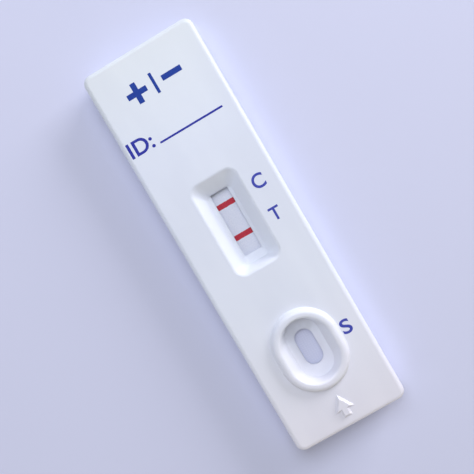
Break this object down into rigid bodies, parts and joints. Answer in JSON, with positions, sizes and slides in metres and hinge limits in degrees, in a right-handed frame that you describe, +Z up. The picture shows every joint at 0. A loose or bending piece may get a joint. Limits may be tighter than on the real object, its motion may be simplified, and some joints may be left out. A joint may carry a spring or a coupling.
{
  "type": "lateral flow cassette",
  "caption": "White rectangular test cassette with a recessed read window, a rimmed oval sample well and a layered strip inside.",
  "frame": {"origin": "centre of the underside, which is the bottom centre of the bounding box", "axes": "+X across the cassette, +Y along it from the sample well to the head end, +Z up out of the face"},
  "size_m": [0.02, 0.07, 0.006],
  "materials": {
    "top_cover": "satin moulded polystyrene",
    "bottom_cover": "satin moulded polystyrene",
    "backing_card": "vinyl card",
    "membrane": "matt nitrocellulose",
    "conjugate_pad": "glass fibre",
    "sample_pad": "woven fibre pad",
    "absorbent_pad": "thick blotting paper"
  },
  "bodies": {
    "root": {"top_cover": "top_cover", "bottom_cover": "bottom_cover", "backing_card": "backing_card", "membrane": "membrane", "conjugate_pad": "conjugate_pad", "sample_pad": "sample_pad", "absorbent_pad": "absorbent_pad"}
  },
  "joints": []
}
